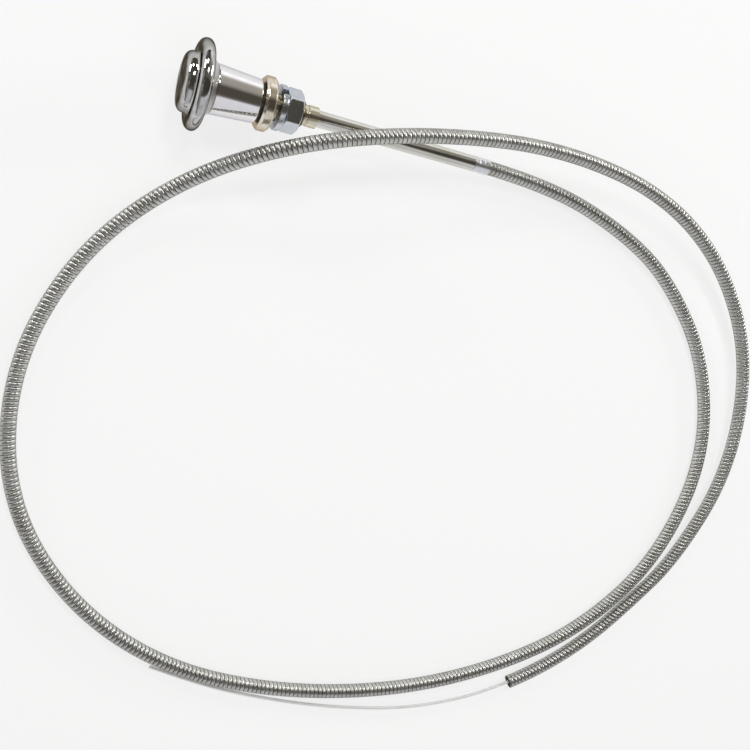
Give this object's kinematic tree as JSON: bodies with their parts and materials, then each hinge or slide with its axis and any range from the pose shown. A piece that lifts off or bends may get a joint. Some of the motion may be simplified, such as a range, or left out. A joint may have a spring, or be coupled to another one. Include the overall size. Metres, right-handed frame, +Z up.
{
  "type": "push-pull control cable",
  "caption": "Push-pull control cable: domed pull knob on a tapered stem, threaded panel mount with washer and nut, guide tube, coiled steel conduit, bare wire end.",
  "frame": {"origin": "on the surface the cable lies on, under the middle of the control (knob to ferrule, without the conduit and the wire in it)", "axes": "+Z up, +X along the control from the knob towards the conduit, seen from above; the control's own axis dips 5.04 degrees below +X because it lies on the knob's rim"},
  "size_m": [0.3442, 0.2686, 0.0339],
  "materials": {
    "chrome": "polished chrome plate",
    "zinc_core": "die-cast zinc core with a thin bright flash of plating",
    "brass": "plain turned brass",
    "bronze": "sintered bronze",
    "black_screw": "black oxide",
    "bright_rod": "bright ground steel",
    "fibre": "dark vulcanised fibre",
    "yellow_plate": "bright zinc plate with a yellow tint, turned",
    "rubber": "moulded nitrile rubber",
    "blue_zinc": "bright zinc plate with a blue tint",
    "bright_tube": "bright drawn steel tube",
    "ferrule_zinc": "light zinc plate, crimped",
    "galvanised_conduit": "galvanised close-wound steel strip",
    "wire": "drawn galvanised steel wire"
  },
  "bodies": {
    "mount": {"stop_washer": "fibre", "collar": "yellow_plate", "threaded_shank": "yellow_plate", "front_bush": "bronze", "friction_ring": "rubber", "lock_washer": "blue_zinc", "mounting_nut": "blue_zinc", "guide_tube": "bright_tube", "tube_ferrule": "ferrule_zinc", "conduit_lead": "galvanised_conduit", "conduit_first_loop": "galvanised_conduit", "conduit_crossing": "galvanised_conduit", "conduit_second_loop": "galvanised_conduit", "inner_wire_core": "wire"},
    "knob": {"knob_cap": "chrome", "knob_core": "zinc_core", "knob_stem": "chrome", "stem_insert": "brass", "stem_screw": "black_screw", "push_rod": "bright_rod", "wire_coupler": "bright_rod", "inner_wire_front": "wire"},
    "wire_tail": {"inner_wire_tail": "wire"}
  },
  "joints": [
    {"name": "knob_pull", "type": "slide", "parent": "mount", "child": "knob", "axis": [-0.9961, 0, 0.0878], "range_m": [0, 0.05]},
    {"name": "tail_draw", "type": "hinge", "parent": "mount", "child": "wire_tail", "pos_m": [0.06561, -0.085, 0.003], "axis": [0, 0, 1], "range_deg": [0, 17.29]}
  ],
  "couplings": [
    {"joint": "tail_draw", "follows": "knob_pull", "rad_per_m": 6.035}
  ]
}
